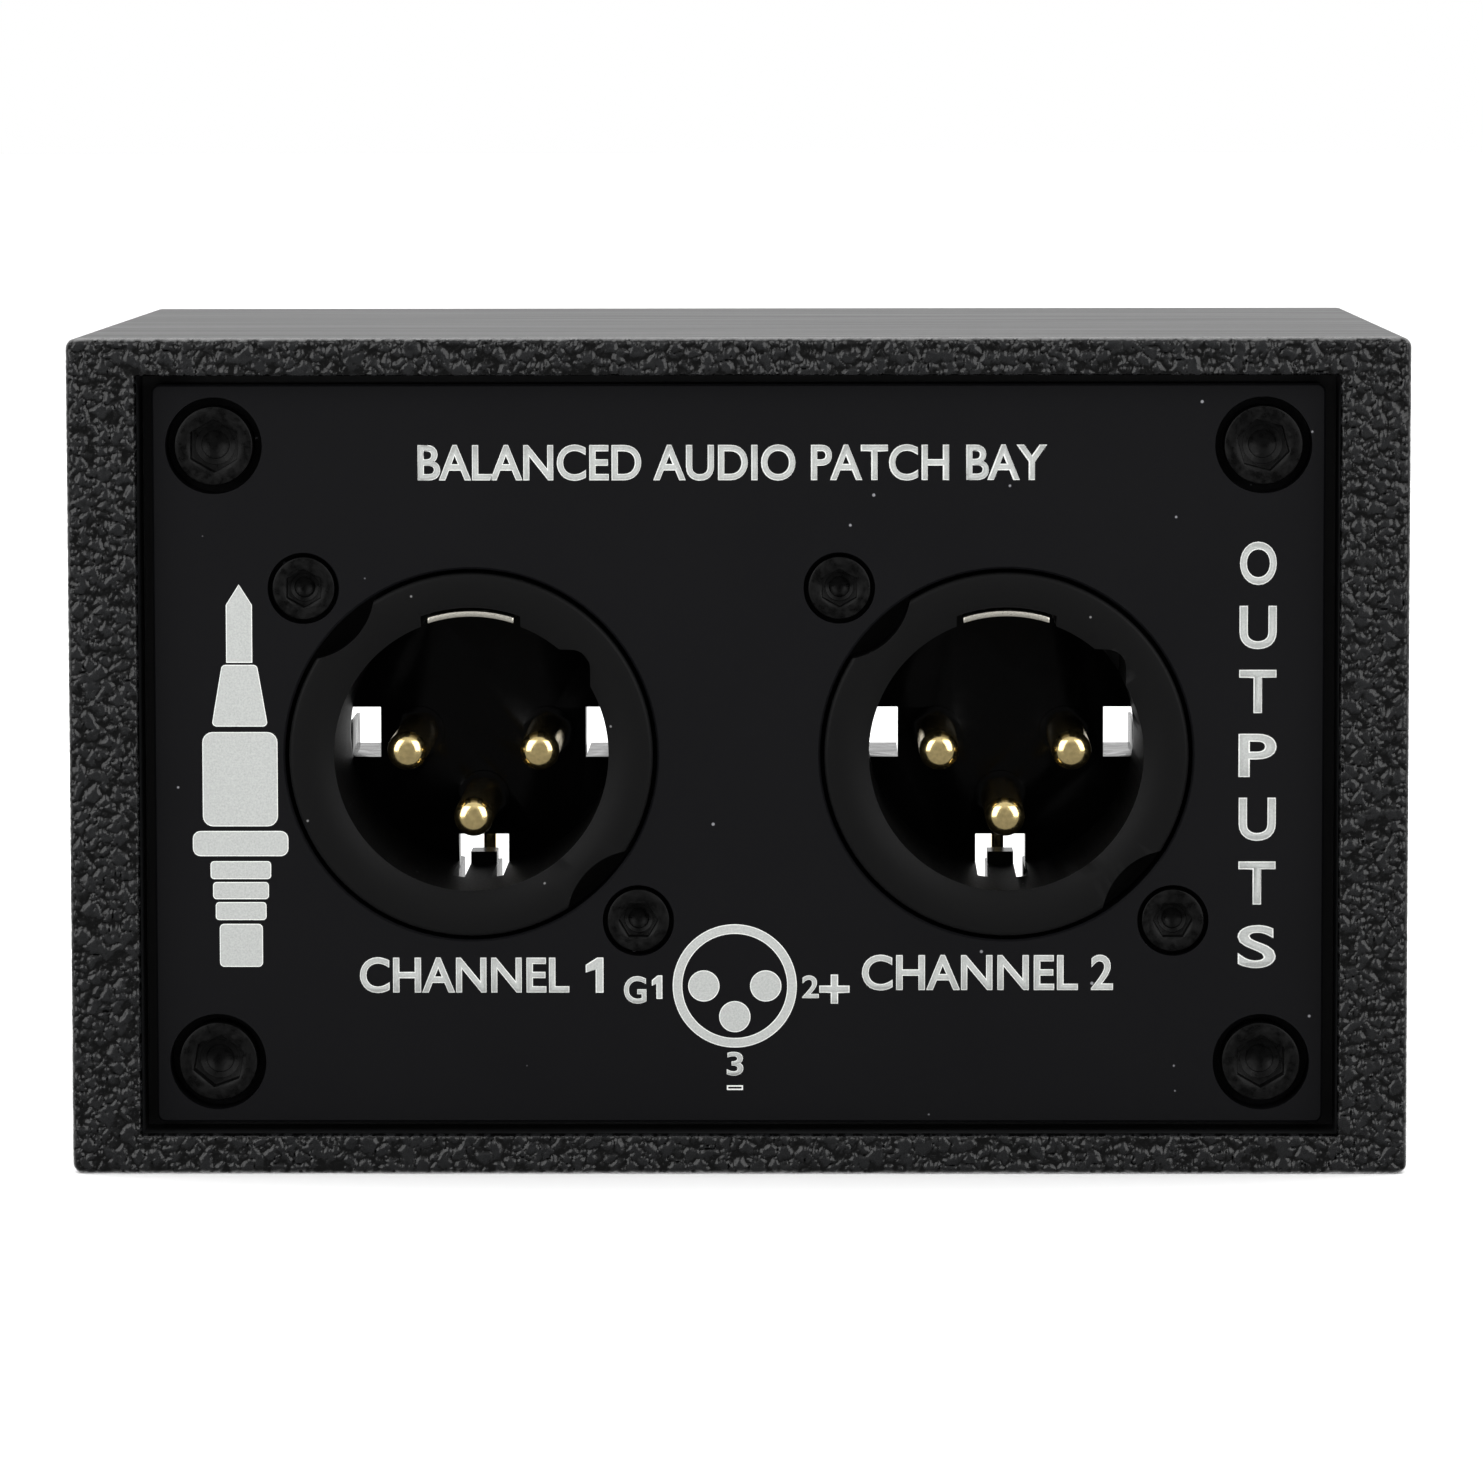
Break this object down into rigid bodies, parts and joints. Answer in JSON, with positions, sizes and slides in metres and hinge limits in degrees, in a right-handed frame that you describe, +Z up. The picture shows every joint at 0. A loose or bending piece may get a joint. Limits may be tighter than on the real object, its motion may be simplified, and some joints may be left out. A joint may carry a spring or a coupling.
{
  "type": "audio patch bay",
  "caption": "Small black box, open at the back, with a screwed-in front panel carrying male balanced-audio sockets side by side.",
  "frame": {"origin": "middle of the underside of the housing, so the part stands on Z = 0", "axes": "+X to the right seen from the front, +Y towards the open back, +Z up; the panel faces -Y"},
  "size_m": [0.0792, 0.057, 0.0496],
  "materials": {
    "housing_plastic": "printed, textured front rim and fine layer lines on the sides",
    "panel_black": "fine matte black anodised aluminium",
    "panel_legend": "etched light grey marks",
    "screw_black": "black oxide steel",
    "insert_brass": "knurled brass",
    "shell_plastic": "satin black",
    "carrier_plastic": "glossy black",
    "contact_gold": "gold plated",
    "ground_tin": "bright tinned spring strip",
    "zinc_steel": "zinc plated"
  },
  "bodies": {
    "root": {"housing": "housing_plastic", "panel_inserts": "insert_brass", "front_panel": "panel_black", "panel_screws": "screw_black", "socket_1_shell": "shell_plastic", "socket_1_contact_carrier": "carrier_plastic", "socket_1_ground_contact": "contact_gold", "socket_1_signal_contact": "contact_gold", "socket_1_return_contact": "contact_gold", "socket_1_ground_plate": "ground_tin", "socket_1_screws": "screw_black", "socket_1_washers": "zinc_steel", "socket_1_nuts": "zinc_steel", "socket_2_shell": "shell_plastic", "socket_2_contact_carrier": "carrier_plastic", "socket_2_ground_contact": "contact_gold", "socket_2_signal_contact": "contact_gold", "socket_2_return_contact": "contact_gold", "socket_2_ground_plate": "ground_tin", "socket_2_screws": "screw_black", "socket_2_washers": "zinc_steel", "socket_2_nuts": "zinc_steel"}
  },
  "joints": []
}
